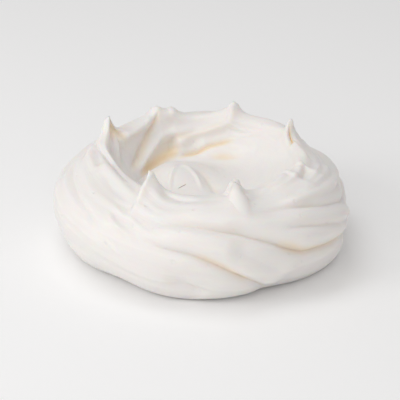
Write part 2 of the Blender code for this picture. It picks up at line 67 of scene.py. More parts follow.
# %% Sizes of the section
BASE_RADIUS = 32.0
FOOT_FLARE = (2.4, 0.6)
LOW_RADIUS = 38.0
LOW_HEIGHT = 4.5
BELLY_RADIUS = 40.2
BELLY_HEIGHT = 11.5
SHOULDER_RADIUS = 38.2
SHOULDER_HEIGHT = 19.2
BROW_RADIUS = 32.6
BROW_HEIGHT = 24.4
RIM_RADIUS = 25.3
RIM_THICKNESS = 1.8
RIM_HEIGHT = 27.1
RIM_SLOPE = 0.1
THROAT_RADIUS = 22.4
THROAT_HEIGHT = 23.6
WALL_RADIUS = 19.6
WALL_HEIGHT = 18.8
FLOOR_RADIUS = 16.4
FLOOR_HEIGHT = 16.4
SLOPE_RADIUS = 12.6
SLOPE_HEIGHT = 16.8
MOUND_RADIUS = 5.6
MOUND_HEIGHT = 22.0
MOUND_AT = (-6.0, 1.5)
print("Across the belly in mm:", 2 * BELLY_RADIUS)


# %% [markdown]
# ## Lumps and tips
# No spooned nest is truly round. Each ring of the section is pushed in or out by a few soft lumps, and
# the rim carries nine tips where the spoon was lifted away and pulled the foam with it. Both are
# named here, so that a lump or a tip can be moved by changing one number.

# %% Lumps and pulled tips
# Lumps push a ring in or out: (degrees around, how far, how wide in degrees).
FOOT_LUMPS = ((228, -3.9, 20), (300, -2.3, 14), (346, 3.3, 24), (120, -1.5, 30), (40, -1.5, 25))
LOW_LUMPS = ((228, -2.6, 24), (200, -1.6, 20), (300, -1.8, 16), (348, 0.2, 22), (95, -4.2, 42))
BELLY_LUMPS = ((228, -1.0, 24), (192, -0.8, 26), (2, -4.3, 23), (95, -5.0, 44))
SHOULDER_LUMPS = ((192, 1.0, 30), (158, -1.0, 25), (6, -4.4, 25), (40, 0.4, 30), (95, -2.8, 38))
BROW_LUMPS = ((200, 0.6, 30), (158, -2.6, 22), (24, -1.4, 18), (335, 0.6, 25), (90, 0.5, 40))
BROW_DIPS = ((20, -1.2, 20),)
RIM_LUMPS = ((205, -3.3, 36), (164, 1.8, 14), (265, -1.8, 25), (30, 1.7, 40), (338, 1.6, 20))
RIM_DIPS = ((262, -3.8, 32), (205, -1.8, 34), (304, -1.6, 14), (95, -1.5, 50), (14, -1.2, 13))
THROAT_LUMPS = ((176, 1.4, 34),)
THROAT_DIPS = ((180, -2.2, 42),)
WALL_LUMPS = ((200, -1.5, 45), (30, 1.0, 40))
MOUND_LUMPS = ((330, -1.6, 70),)

# The hollow is deeper on the left than on the right, by the same kind of lumps.
WALL_DIPS = ((190, -4.6, 60), (350, 1.7, 60))
FLOOR_DIPS = ((190, -5.2, 60), (350, 2.4, 70))
SLOPE_DIPS = ((190, -3.6, 60), (350, 2.0, 70))

# Pulled tips on the rim: name, degrees, rise, spread before, spread after, lean outwards, how much of
# the rise is the thin point, and by how many degrees the outer side of the tip stands later.
TIPS = (
    ("right front", 339.5, 1.6, 5.0, 2.5, 0.5, 0.6, 0.0),
    ("right front, small", 327.0, 1.1, 4.0, 2.5, 0.0, 0.6, 0.0),
    ("front", 292.0, 5.8, 4.0, 5.5, -0.3, 0.65, -3.0),
    ("front left", 234.8, 8.0, 1.7, 8.0, -0.2, 0.15, 4.0),
    ("left", 153.0, 6.0, 5.0, 8.0, 1.6, 0.45, 0.0),
    ("back left", 117.0, 4.0, 8.0, 7.0, 0.3, 0.15, 0.0),
    ("back left, second", 107.5, 1.7, 4.0, 5.0, 0.3, 0.2, 0.0),
    ("back", 69.5, 5.0, 7.0, 10.0, -0.2, 0.4, 0.0),
    ("right", 28.5, 4.8, 2.8, 4.0, 1.0, 0.6, 0.0),
)

# Degrees: how blunt the points are, and how far the wall below is pulled along to each side at least.
TIP_BLUNTNESS = 0.5
SOFT_SPREAD = 5.0
# How wide the thin point is, as a share of the whole tip.
POINT_WIDTH = 0.28
print("Tips:", [tip[0] for tip in TIPS])


# %% [markdown]
# ## Rings round the nest
# Each control point of the section becomes a ring: a radius and a height for every direction. A tip
# lifts the two rings of the rim to a point, and draws the rings beside it along softly.

# %% Turn the sizes into rings
def turn_from(azimuth, centre):
    """Degrees from centre to azimuth, between -180 and 180."""
    return (azimuth - centre + 180.0) % 360.0 - 180.0


def ring(azimuth, size, lumps=()):
    """One ring of the nest: a size all the way round, pushed in or out by its lumps."""
    result = np.full_like(azimuth, float(size))
    for centre, amount, spread in lumps:
        result = result + amount * np.exp(-(turn_from(azimuth, centre) / spread) ** 2)
    return result


def tip_shapes(azimuth, outside):
    """Sharp rise, soft rise and outward lean of all the tips; outside is 0 on the rim's inner side."""
    sharp = np.zeros_like(azimuth)
    soft = np.zeros_like(azimuth)
    lean = np.zeros_like(azimuth)
    for name, centre, rise, before, after, outwards, point, slant in TIPS:
        turn = turn_from(azimuth, centre + outside * slant)
        spread = np.where(turn < 0.0, before, after)
        away = np.sqrt(turn * turn + TIP_BLUNTNESS ** 2) - TIP_BLUNTNESS
        broad = (1.0 - point) * np.exp(-away / spread)
        pulled = broad + point * np.exp(-away / (POINT_WIDTH * spread))
        sharp = sharp + rise * pulled
        soft = soft + rise * np.exp(-(turn / np.maximum(spread, SOFT_SPREAD)) ** 2)
        lean = lean + outwards * pulled
    return sharp, soft, lean


def section_rings(azimuth):
    """Control rings from the edge of the foot, up over the rim, to the top of the mound.

    Each is (radius, height, share of the mound's sideways offset).
    """
    sharp_in, soft_in, lean = tip_shapes(azimuth, 0.0)
    sharp_out = tip_shapes(azimuth, 1.0)[0]
    soft_out = tip_shapes(azimuth, 2.0)[1]
    dip = ring(azimuth, 0.0, RIM_DIPS)
    flare_out, flare_up = FOOT_FLARE
    shoulder_height = SHOULDER_HEIGHT + 0.3 * dip
    brow = ring(azimuth, BROW_RADIUS, BROW_LUMPS) - 0.2 * soft_out
    brow_height = ring(azimuth, BROW_HEIGHT, BROW_DIPS) + 0.7 * dip + 0.15 * soft_out
    rim_out = ring(azimuth, RIM_RADIUS + RIM_THICKNESS / 2, RIM_LUMPS) + lean
    rim_in = ring(azimuth, RIM_RADIUS - RIM_THICKNESS / 2, RIM_LUMPS) + lean
    throat = ring(azimuth, THROAT_RADIUS, RIM_LUMPS + THROAT_LUMPS) + 0.6 * lean + 0.2 * soft_in
    throat_height = ring(azimuth, THROAT_HEIGHT, THROAT_DIPS) + 0.8 * dip + 0.2 * soft_in
    return (
        (ring(azimuth, BASE_RADIUS, FOOT_LUMPS), 0.0, 0.0),
        (ring(azimuth, BASE_RADIUS + flare_out, FOOT_LUMPS), flare_up, 0.0),
        (ring(azimuth, LOW_RADIUS, LOW_LUMPS), LOW_HEIGHT, 0.0),
        (ring(azimuth, BELLY_RADIUS, BELLY_LUMPS), BELLY_HEIGHT, 0.0),
        (ring(azimuth, SHOULDER_RADIUS, SHOULDER_LUMPS), shoulder_height, 0.0),
        (brow, brow_height, 0.0),
        (rim_out, RIM_HEIGHT + RIM_SLOPE + dip + sharp_out, 0.0),
        (rim_in, RIM_HEIGHT - RIM_SLOPE + dip + sharp_in, 0.0),
        (throat, throat_height, 0.0),
        (ring(azimuth, WALL_RADIUS, WALL_LUMPS), ring(azimuth, WALL_HEIGHT, WALL_DIPS), 0.15),
        (ring(azimuth, FLOOR_RADIUS), ring(azimuth, FLOOR_HEIGHT, FLOOR_DIPS), 0.5),
        (ring(azimuth, SLOPE_RADIUS, MOUND_LUMPS), ring(azimuth, SLOPE_HEIGHT, SLOPE_DIPS), 1.0),
        (ring(azimuth, MOUND_RADIUS, MOUND_LUMPS), MOUND_HEIGHT, 1.0),
        (ring(azimuth, 0.0), MOUND_HEIGHT, 1.0),
    )


print("Control rings:", len(section_rings(np.zeros(1))))


# %% [markdown]
# ## A smooth skin
# Stiff foam has no corners. A cubic B-spline runs smoothly past the rings, as a bent strip of wood
# would, and its weights are worked out here as plain numbers.

# %% Draw smooth skin through the rings
def spline_shares(across, count):
    """How much each of count control rings counts at each place (clamped cubic spline)."""
    knots = np.concatenate([np.zeros(3), np.linspace(0.0, 1.0, count - 2), np.ones(3)])
    place = np.minimum(across, 1.0 - 1e-9)[:, None]
    share = ((place >= knots[:-1]) & (place < knots[1:])).astype(float)
    for degree in (1, 2, 3):
        low = knots[degree:-1] - knots[:-degree - 1]
        high = knots[degree + 1:] - knots[1:-degree]
        rise = (place - knots[:-degree - 1]) / np.where(low > 0.0, low, 1.0)
        fall = (knots[degree + 1:] - place) / np.where(high > 0.0, high, 1.0)
        rise = np.where(low > 0.0, rise, 0.0)
        fall = np.where(high > 0.0, fall, 0.0)
        share = rise * share[:, :-1] + fall * share[:, 1:]
    return share


def plain_nest(azimuth, across):
    """Points of the nest before any fold, as an array (places across, places around, 3)."""
    rings = section_rings(azimuth)
    radius = np.array([item[0] for item in rings])
    height = np.array([item[1] + 0.0 * azimuth for item in rings])
    offset = np.array([item[2] + 0.0 * azimuth for item in rings])
    share = spline_shares(across, len(rings))
    r = share @ radius
    z = share @ height
    o = share @ offset
    a = np.radians(azimuth)
    return np.stack([r * np.cos(a) + o * MOUND_AT[0], r * np.sin(a) + o * MOUND_AT[1], z], axis=-1)


slice_points = plain_nest(np.zeros(1), np.linspace(0.0, 1.0, 5))[:, 0]
print("Five points of the plain section in mm:", np.round(slice_points, 1).tolist())


# %% [markdown]
# ## The folds
# A spoon drawn through stiff foam leaves a roll beside its path and a groove under it, and where it
# only grazes the foam it leaves a low ridge. So every fold is one line with a few sizes: its rolls,
# groove or ridge, how it fades at its ends, and how much painted shade, warm like light bounced in the
# foam, tints its crease. Sculpt brushes could make the same forms, but their strokes can't be read or
# changed one by one afterwards.

# %% What a fold is
def fold(name, line, fade, groove=(0, 1), ridge=(0, 1), inner_roll=(0, 1), outer_roll=(0, 1), shade_tint=(0, 1)):
    """One stroke of the spoon. Each size is (height or depth, width) in millimetres.

    line runs through (degrees around, per cent of the way: 0 foot, 50 rim, 100 middle).
    inner_roll stands on the line's middle side and outer_roll on its foot side.
    fade is the length over which the fold grows at its start and shrinks at its end.
    The last size is how strongly (0 to 1) and how wide the crease is tinted with painted shade.
    """
    sizes = {
        "groove": groove, "ridge": ridge, "inner_roll": inner_roll, "outer_roll": outer_roll, "shade_tint": shade_tint,
    }
    widths = [width for height, width in sizes.values() if height]
    return {"name": name, "line": line, "fade": fade, "reach": 5.0 * max(widths) + 2.0, **sizes}


example = fold("example", ((0, 30), (20, 35)), fade=(2, 2), groove=(1.0, 1.5))
print("A fold knows its", list(example))


# %% Folds on the front
FRONT_FOLDS = (
    fold("long fold",
        ((234, 34.8), (248, 34.2), (262, 34.2), (274, 32.6), (285, 29.6), (296, 26), (303, 22.6),
        (310, 19.6), (319, 18), (330, 16.6), (342, 14.6), (354, 12.6), (368, 12.2), (386, 14),
        (402, 17)),
        fade=(22, 16), inner_roll=(2.4, 3.8), outer_roll=(1.0, 2.4), groove=(0.9, 1.6), shade_tint=(0.15, 1.0)),
    fold("long fold, painted shade",
        ((294, 26.7), (303, 22.6), (310, 19.6), (319, 18), (330, 16.6), (344, 14.2)),
        fade=(8, 6), shade_tint=(0.55, 1.4)),
    fold("lower fold",
        ((238, 29), (254, 26.4), (265, 24.8), (270, 23), (276, 20.4), (281, 17.4), (287, 13.4),
        (292, 10.4), (301, 4)),
        fade=(18, 6), inner_roll=(1.8, 3.6), outer_roll=(0.8, 2.2), groove=(1.0, 1.6), shade_tint=(0.12, 1.0)),
    fold("lower fold, painted shade",
        ((264, 25), (270, 23), (276, 20.4), (281, 17.4), (287, 13.4), (292, 10.4)),
        fade=(6, 5), shade_tint=(0.5, 1.2)),
    fold("upper fold",
        ((286, 36.4), (297, 35.6), (308, 34.4), (316, 32.4), (325, 29.6), (334, 27.4), (344, 24.6),
        (356, 21.6), (372, 20.4), (388, 22), (400, 24)),
        fade=(20, 12), inner_roll=(1.2, 2.8), outer_roll=(0.5, 2.5), groove=(0.7, 1.2), shade_tint=(0.15, 0.8)),
    fold("hollow under long fold",
        ((279, 26), (284, 24.6), (289, 22), (294, 19.2), (299, 16.4), (305, 13.6)),
        fade=(5, 6), groove=(0.9, 3.2)),
    fold("low front hollow", ((256, 16), (262, 13), (267, 10), (273, 6)),
        fade=(6, 4), groove=(1.6, 2.8)),
    fold("high streak", ((220, 40.4), (226, 39.2), (235, 38), (245, 35.6), (256, 34.8), (266, 34.6)),
        fade=(5, 8), ridge=(0.4, 0.7)),
    fold("upper streak", ((225, 36.6), (231, 35), (238, 33.2), (243, 31.2), (249, 29.8), (258, 28.6)),
        fade=(4, 8), ridge=(0.55, 0.6)),
    fold("middle streak", ((226, 34), (230, 32.2), (236, 29.5), (241, 27.5), (247, 24.6)),
        fade=(4, 8), ridge=(0.5, 0.55)),
    fold("lower streak", ((219, 31), (226, 28.2), (230, 25.4), (236, 22.4), (245, 18)),
        fade=(5, 8), ridge=(0.5, 0.6)),
    fold("hollow between streaks", ((226, 35), (231, 33.6), (237, 31.4), (243, 29.2), (250, 27.4)),
        fade=(5, 8), groove=(0.4, 1.2)),
    fold("front lip groove", ((243, 47.4), (252, 46), (262, 44.2), (273, 43.4)),
        fade=(4, 5), inner_roll=(0.4, 1.4), groove=(0.5, 1.0)),
    fold("front left tip foot", ((240, 47.5), (243, 45), (246, 42.6), (250, 40)),
        fade=(2, 4), ridge=(0.4, 1.8)),
    fold("front tip ridge", ((291.6, 48), (290.4, 46), (289.2, 43), (287.6, 39.4)),
        fade=(2, 4), ridge=(0.6, 0.9)),
    fold("front tip hollow", ((289.6, 48), (286.6, 45.8), (284, 43)),
        fade=(1.5, 2.5), groove=(1.2, 1.3), shade_tint=(0.15, 1.0)),
    fold("front tip right hollow", ((293.8, 48), (293.8, 45.6), (293.2, 43), (291.4, 39.6)),
        fade=(1.5, 3), groove=(0.6, 1.2)),
)
print("Folds on the front:", len(FRONT_FOLDS))


# %% Folds on the right
RIGHT_FOLDS = (
    fold("right middle fold",
        ((298, 28.8), (305, 28.1), (312, 27), (319, 25.3), (326, 23.6), (335, 21.2), (350, 17.8),
        (368, 16.4), (384, 17.4), (398, 20)),
        fade=(10, 10), inner_roll=(1.2, 2.2), outer_roll=(0.6, 1.6), groove=(0.5, 1.3), shade_tint=(0.12, 1.2)),
    fold("right upper notch", ((338, 26.3), (350, 23.0), (364, 20.8), (380, 21)),
        fade=(8, 8), groove=(1.3, 1.3)),
    fold("right lower notch", ((340, 15.2), (352, 12.8), (366, 12.2), (382, 13.6)),
        fade=(8, 8), groove=(0.8, 1.3)),
    fold("lower shoulder ridge",
        ((305, 36.2), (316, 34.8), (327, 33.6), (340, 32.4), (354, 30.4), (366, 30)),
        fade=(6, 6), ridge=(1.0, 1.2)),
    fold("shoulder groove", ((314, 33.8), (323, 32.6), (333, 31.2), (344, 29.8), (356, 29)),
        fade=(5, 6), groove=(0.6, 0.9)),
    fold("upper shoulder ridge", ((316, 37.2), (327, 36.7), (338, 36.6), (351, 35.3), (362, 34.6)),
        fade=(5, 5), ridge=(0.7, 1.0)),
    fold("fine shoulder ridge", ((322, 38.6), (333, 38.8), (343, 39.2), (354, 38.6)),
        fade=(4, 4), ridge=(0.4, 0.8)),
    fold("ridge to right front tip",
        ((302, 42.5), (310, 43.2), (318, 43.2), (326, 43.4), (333, 45), (337, 47.2), (339, 49.5)),
        fade=(8, 2), ridge=(0.7, 1.0)),
    fold("hollow right of right front tip", ((324, 39.2), (332, 41.6), (338.5, 45), (342, 48.4)),
        fade=(4, 2), groove=(0.8, 1.1)),
    fold("lip to small tip", ((298, 44.6), (307, 46), (314, 46.8), (320, 47.4), (326.5, 49.2)),
        fade=(5, 2), ridge=(0.6, 0.9)),
    fold("curled lip by the right tip", ((-8, 46.2), (4, 48.4), (14, 49.4), (24, 49.4)),
        fade=(3, 3), ridge=(0.6, 1.2)),
    fold("groove outside the curled lip", ((-8, 43.6), (6, 44.8), (18, 46), (29, 46)),
        fade=(3, 3), groove=(0.5, 0.9)),
    fold("hollow outside the right tip", ((31, 46), (29.5, 43.6), (28.8, 41)),
        fade=(1.5, 2), groove=(1.0, 1.2)),
)
print("Folds on the right:", len(RIGHT_FOLDS))


# %% Folds on the left
LEFT_FOLDS = (
    fold("left long crease",
        ((170, 33), (182, 33.8), (194, 34.2), (206, 33), (216, 31), (225, 28.4), (231, 24.8), (240, 19)),
        fade=(8, 10), inner_roll=(0.5, 2.4), outer_roll=(0.4, 2.4), groove=(0.6, 1.5)),
    fold("left rim groove", ((163, 41), (171, 43.6), (181, 46.2), (194, 47.3), (208, 47.6), (221, 46.8)),
        fade=(3, 6), outer_roll=(0.7, 1.2), groove=(0.7, 0.8)),
    fold("left dimple", ((169, 41.4), (174, 42.8), (180, 43.5), (187, 43.2), (194, 41.8)),
        fade=(2, 3), groove=(0.8, 0.7)),
    fold("ridge beside the dimple", ((168, 39), (176, 39.6), (186, 40.8), (196, 40.4)),
        fade=(3, 4), ridge=(0.5, 0.8)),
    fold("left upper ridge", ((186, 45.6), (200, 44.8), (212, 44.4), (224, 43.0), (236, 40.6), (244, 40)),
        fade=(5, 4), ridge=(0.7, 1.3)),
    fold("left second fold", ((196, 43), (206, 42.4), (218, 41), (227, 39.6), (236, 37.8), (247, 38)),
        fade=(6, 6), groove=(0.7, 1.4)),
    fold("left bulge", ((212, 27), (228, 23), (243, 18), (262, 11)),
        fade=(10, 10), ridge=(0.7, 4.0)),
)
print("Folds on the left:", len(LEFT_FOLDS))


# %% Folds round the back
BACK_FOLDS = (
    fold("right back fold", ((32, 34), (44, 30.6), (60, 25), (78, 20), (98, 18)),
        fade=(10, 14), inner_roll=(1.6, 3.2), outer_roll=(0.3, 2.0), groove=(1.2, 1.6)),
    fold("right back low fold", ((-4, 12), (16, 12), (40, 9), (60, 4)),
        fade=(8, 6), inner_roll=(0.9, 2.6), groove=(0.9, 1.6)),
    fold("back fold", ((62, 38), (86, 36), (112, 31), (136, 24), (158, 17), (182, 12)),
        fade=(14, 14), inner_roll=(1.6, 3.0), outer_roll=(0.4, 2.0), groove=(1.3, 1.5)),
    fold("back shoulder fold", ((92, 42), (112, 41), (134, 38), (156, 37), (180, 37)),
        fade=(8, 8), inner_roll=(0.8, 1.8), outer_roll=(0.2, 1.5), groove=(0.7, 0.9)),
    fold("back low fold", ((96, 22), (118, 16), (140, 9), (156, 4)),
        fade=(10, 6), inner_roll=(1.0, 2.8), groove=(0.9, 1.6)),
    fold("right shoulder fold", ((24, 42), (44, 40), (66, 39), (86, 41)),
        fade=(6, 6), inner_roll=(0.8, 1.8), outer_roll=(0.2, 1.5), groove=(0.6, 0.9)),
)
print("Folds round the back:", len(BACK_FOLDS))


# %% Folds on the inner wall
INNER_FOLDS = (
    fold("hollow behind left tip", ((145, 54.4), (151, 56.4), (155, 59), (158, 62)),
        fade=(2, 3), groove=(1.3, 1.2), shade_tint=(0.5, 1.4)),
    fold("left inner ridge",
        ((118, 52), (124, 53), (132, 54.4), (138, 55.6), (145, 57.2), (151, 60.6), (156, 64.4),
        (161, 68)),
        fade=(3, 5), ridge=(1.3, 1.1)),
    fold("left inner groove",
        ((112, 51), (119, 54.6), (125, 58.2), (131, 62.4), (138, 66.6), (147, 70.4), (156, 73)),
        fade=(4, 5), groove=(1.3, 1.2), shade_tint=(0.42, 1.3)),
    fold("long inner ridge",
        ((88, 58), (97, 60.4), (105, 62.8), (112, 64.4), (120, 66), (128, 68), (136, 71), (147, 76)),
        fade=(8, 4), ridge=(1.3, 1.4)),
    fold("back sweep groove",
        ((66, 56.4), (80, 59.0), (90, 61.4), (101, 63.6), (109, 66.0), (119, 68.4), (130, 70.4)),
        fade=(6, 6), groove=(1.0, 1.6), shade_tint=(0.28, 1.4)),
    fold("deep pocket", ((100, 69), (108, 70.4), (116, 72), (124, 73.6), (136, 75.2), (150, 76)),
        fade=(4, 6), groove=(0.6, 2.4), shade_tint=(0.8, 2.6)),
    fold("back roll",
        ((50, 55), (60, 57), (70, 59), (80, 60.4), (90, 62.4), (98, 64.8), (104, 67.6), (108, 70)),
        fade=(12, 2), ridge=(1.5, 1.8)),
    fold("end of back roll", ((106, 64.6), (109, 66.6), (111, 69.6), (111, 73)),
        fade=(2, 2), groove=(0.8, 1.0), shade_tint=(0.3, 1.2)),
    fold("back roll underside",
        ((58, 66), (66, 68), (74, 69.8), (80, 71), (85, 73), (91, 74.8), (100, 75), (110, 74)),
        fade=(6, 6), inner_roll=(0.7, 2.2), groove=(1.0, 1.2), shade_tint=(0.75, 1.4)),
    fold("upper shine ridge", ((42, 57.2), (50, 59.2), (58, 60.5), (67, 61.5), (75, 60.6)),
        fade=(4, 3), ridge=(0.4, 0.55)),
    fold("lower shine ridge", ((44, 59.4), (54, 62.3), (62, 64.5), (72, 64.8)),
        fade=(4, 3), ridge=(0.35, 0.55)),
    fold("right tip crease", ((28.5, 50.4), (25, 51.8), (21.5, 53.8), (17, 55.8)),
        fade=(1.5, 2.5), outer_roll=(0.3, 1.6), groove=(1.2, 0.9), shade_tint=(0.95, 1.0)),
    fold("back tip dimple", ((72, 52), (70, 55), (67, 59)),
        fade=(1.5, 2), groove=(0.5, 1.3), shade_tint=(0.15, 1.2)),
)
print("Folds on the inner wall:", len(INNER_FOLDS))


# %% Folds on the floor and the mound
# Lines here run through (x, y) in millimetres.
FLOOR_FOLDS = (
    fold("plateau ridge", ((-1, 19), (1.1, 20.4), (4, 20.0), (8, 19.2), (12, 17.8), (16, 15)),
        fade=(3, 5), ridge=(1.0, 1.9)),
    fold("plateau groove", ((-0.5, 16.6), (3.2, 16.7), (6, 16.4), (9.5, 15.3), (14, 13.6)),
        fade=(7, 8), groove=(0.9, 1.4), shade_tint=(0.5, 1.0)),
    fold("curl ridge",
        ((-8, -8), (-7.8, -4), (-7.0, -0.2), (-5.4, 1.6), (-3.4, 1.6), (-1.9, -0.3), (-0.4, -3.4),
        (0.6, -7.2)),
        fade=(3, 3), ridge=(0.45, 0.6)),
    fold("curl groove", ((-1.6, 3), (0.2, 0.8), (1.6, -1.6), (3.2, -5), (4.4, -9)),
        fade=(3, 3), groove=(0.8, 1.4), shade_tint=(0.25, 1.4)),
)
WALL_FOLDS = FRONT_FOLDS + RIGHT_FOLDS + LEFT_FOLDS + BACK_FOLDS + INNER_FOLDS
print("Folds in all:", len(WALL_FOLDS) + len(FLOOR_FOLDS))


# %% [markdown]
# ## The section of a fold
# Cut across, a fold is a roll that dies away beside the line, a narrow groove or a round ridge. Along
# its line it swells and sinks back, as a spoon goes in and comes out again.

# %% Shapes of rolls, grooves and ridges
# How round the bottom of a groove is, in millimetres.
GROOVE_BOTTOM = 0.4


def smooth_line(points, samples=48):
    """Samples of a smooth line through the given points."""
    p = np.array(points, float)
    p = np.vstack([2 * p[0] - p[1], p, 2 * p[-1] - p[-2]])
    t = np.linspace(0.0, len(p) - 3 - 1e-9, samples)
    k = t.astype(int)
    f = (t - k)[:, None]
    a, b, c, d = p[k], p[k + 1], p[k + 2], p[k + 3]
    bend = 2 * a - 5 * b + 4 * c - d
    twist = 3 * b - a - 3 * c + d
    return 0.5 * (2 * b + (c - a) * f + bend * f ** 2 + twist * f ** 3)


def smooth_step(x):
    """0 below 0, 1 above 1, an easy curve between."""
    x = np.clip(x, 0.0, 1.0)
    return x * x * (3.0 - 2.0 * x)


def roll_shape(distance, width):
    """A round roll that starts at the line and stands on its positive side."""
    x = np.maximum(distance, 0.0) / width
    return x * np.exp(1.0 - x)


def groove_shape(distance, width):
    """A narrow groove along the line."""
    return np.exp(-(np.sqrt(distance * distance + GROOVE_BOTTOM ** 2) - GROOVE_BOTTOM) / width)


def ridge_shape(distance, width):
    """A round ridge along the line."""
    return np.exp(-(distance / width) ** 2)


print("A roll, at 0 to 4 widths from its line:", np.round(roll_shape(np.arange(5.0), 1.0), 2))


# %% How high one fold stands
def one_fold(offset_x, offset_y, line_x, line_y, stroke):
    """Rise and painted crease shade of one fold, from the offset of each point to each line sample."""
    near = np.argmin(offset_x ** 2 + offset_y ** 2, axis=1)
    row = np.arange(len(near))
    run_x = np.gradient(line_x)
    run_y = np.gradient(line_y)
    step = np.hypot(run_x, run_y)
    run_x = run_x / step
    run_y = run_y / step
    length = np.concatenate([[0.0], np.cumsum(0.5 * (step[1:] + step[:-1]))])
    dx = offset_x[row, near]
    dy = offset_y[row, near]
    distance = run_x[near] * dy - run_y[near] * dx
    along = length[near] + run_x[near] * dx + run_y[near] * dy
    fade_in, fade_out = stroke["fade"]
    amount = smooth_step(along / fade_in) * smooth_step((length[-1] - along) / fade_out)
    rise = stroke["inner_roll"][0] * roll_shape(distance, stroke["inner_roll"][1])
    rise = rise + stroke["outer_roll"][0] * roll_shape(-distance, stroke["outer_roll"][1])
    rise = rise + stroke["ridge"][0] * ridge_shape(distance, stroke["ridge"][1])
    rise = rise - stroke["groove"][0] * groove_shape(distance, stroke["groove"][1])
    # The tint is painted shade along the crease, set a little to the line's middle side, under the roll.
    tint_width = stroke["shade_tint"][1]
    tint = stroke["shade_tint"][0] * ridge_shape(distance - 0.4 * tint_width, tint_width)
    return amount * rise, amount * tint


# %% Directions and lengths on the skin
def outward(azimuth, across):
    """The direction straight out of the plain nest's skin."""
    around_run = plain_nest(azimuth + 0.5, across) - plain_nest(azimuth - 0.5, across)
    later = np.clip(across + 0.002, 0.0, 1.0)
    sooner = np.clip(across - 0.002, 0.0, 1.0)
    across_run = plain_nest(azimuth, later) - plain_nest(azimuth, sooner)
    normal = np.cross(around_run, across_run)
    normal = normal / np.maximum(np.linalg.norm(normal, axis=-1, keepdims=True), 1e-9)
    normal[across >= 0.998] = (0.0, 0.0, 1.0)
    return normal


def mean_section():
    """Places along the section, with their mean length from the foot and mean radius."""
    place = np.linspace(0.0, 1.0, 201)
    sample = plain_nest(np.arange(0.0, 360.0, 10.0), place)
    steps = np.linalg.norm(np.diff(sample, axis=0), axis=-1).mean(axis=1)
    length = np.concatenate([[0.0], np.cumsum(steps)])
    radius = np.hypot(sample[..., 0], sample[..., 1]).mean(axis=1)
    return place, length, radius


print("Length of the section in mm:", round(float(mean_section()[1][-1]), 1))


# %% [markdown]
# ## Press the folds in
# Each point near a fold's line is moved straight out of the skin or into it. On the walls this is
# measured on the unrolled wall, so a roll is as wide at the rim as at the belly. On the floor it is
# measured from above. Points far from a line are left out, which keeps this quick.

# %% Press the folds of the walls
def press_wall_folds(azimuth, across, lift, crease_shade):
    """Adds the rise of every fold of the walls to lift, and keeps the strongest painted crease shade."""
    place, length, radius = mean_section()
    grid_around, grid_across = np.meshgrid(azimuth, across)
    point_around = grid_around.ravel()
    point_length = np.interp(grid_across.ravel(), place, length)
    for stroke in WALL_FOLDS:
        line = smooth_line(stroke["line"])
        line_length = np.interp(line[:, 1] / 100.0, place, length)
        line_radius = np.interp(line[:, 1] / 100.0, place, radius)
        reach = stroke["reach"]
        centre = 0.5 * (line[0, 0] + line[-1, 0])
        turn = turn_from(point_around, centre)
        half = 0.5 * (line[:, 0].max() - line[:, 0].min())
        close = np.abs(turn) < half + np.degrees(reach / line_radius.min())
        close &= point_length > line_length.min() - reach
        close &= point_length < line_length.max() + reach
        pick = np.where(close)[0]
        offset_x = np.radians(turn[pick][:, None] - (line[:, 0] - centre)) * line_radius
        offset_y = point_length[pick][:, None] - line_length
        mid_radius = 0.5 * (line_radius[1:] + line_radius[:-1])
        line_x = np.concatenate([[0.0], np.cumsum(np.radians(np.diff(line[:, 0])) * mid_radius)])
        rise, tint = one_fold(offset_x, offset_y, line_x, line_length, stroke)
        lift[pick] += rise
        crease_shade[pick] = np.maximum(crease_shade[pick], tint)


# %% Press the folds of the floor
def press_floor_folds(points, across, lift, crease_shade):
    """Adds the rise of every fold of the floor and the mound to lift, and keeps the strongest painted crease
    shade.
    """
    flat = points.reshape(-1, 3)
    inside = np.repeat(across > 0.6, points.shape[1])
    for stroke in FLOOR_FOLDS:
        line = smooth_line(stroke["line"])
        low = line.min(axis=0) - stroke["reach"]
        high = line.max(axis=0) + stroke["reach"]
        close = inside & (flat[:, :2] > low).all(axis=1) & (flat[:, :2] < high).all(axis=1)
        pick = np.where(close)[0]
        offset_x = flat[pick, 0][:, None] - line[:, 0]
        offset_y = flat[pick, 1][:, None] - line[:, 1]
        rise, tint = one_fold(offset_x, offset_y, line[:, 0], line[:, 1], stroke)
        lift[pick] += rise
        crease_shade[pick] = np.maximum(crease_shade[pick], tint)


# %% [markdown]
# ## Ripples all over
# Between the folds the foam isn't smooth either: low, long ripples follow the stroke. Four waves of
# different lengths never meet in the same way twice, so they don't look like a pattern.

# %% Ripples and the finished skin
# Height and distance apart in millimetres, turns round the nest, start in radians.
RIPPLES = (
    (0.09, 7.3, 2, 0.4),
    (0.08, 4.9, -1, 2.1),
    (0.06, 3.4, 3, 4.0),
    (0.05, 2.6, -2, 1.2),
)
# The ripples sink by DRIFT on their way round, starting from DRIFT_FROM. Inside the rim they are low.
DRIFT = 9.0
DRIFT_FROM = math.radians(155.0)
DRIFT_REACH = 46.0
CALM_INSIDE = 0.8
CALM_FROM = 0.52
CALM_OVER = 0.14
# Folds fade out over this height above the floor, in millimetres, so that the foot stays flat.
GRIP_HEIGHT = 1.5


def combed(azimuth, across):
    """Low, long ripples that follow the stroke."""
    around = np.radians(azimuth)[None, :]
    place, length = mean_section()[:2]
    down = np.interp(across, place, length)[:, None]
    drift = DRIFT * np.cos(around - DRIFT_FROM)
    stroke = down - drift * np.clip(1.0 - down / DRIFT_REACH, 0.0, 1.0)
    ripple = np.zeros((len(across), len(azimuth)))
    for height, wave, turns, start in RIPPLES:
        ripple = ripple + height * np.sin(math.tau * stroke / wave + turns * around + start)
    return ripple * (1.0 - CALM_INSIDE * smooth_step((across - CALM_FROM) / CALM_OVER))[:, None]


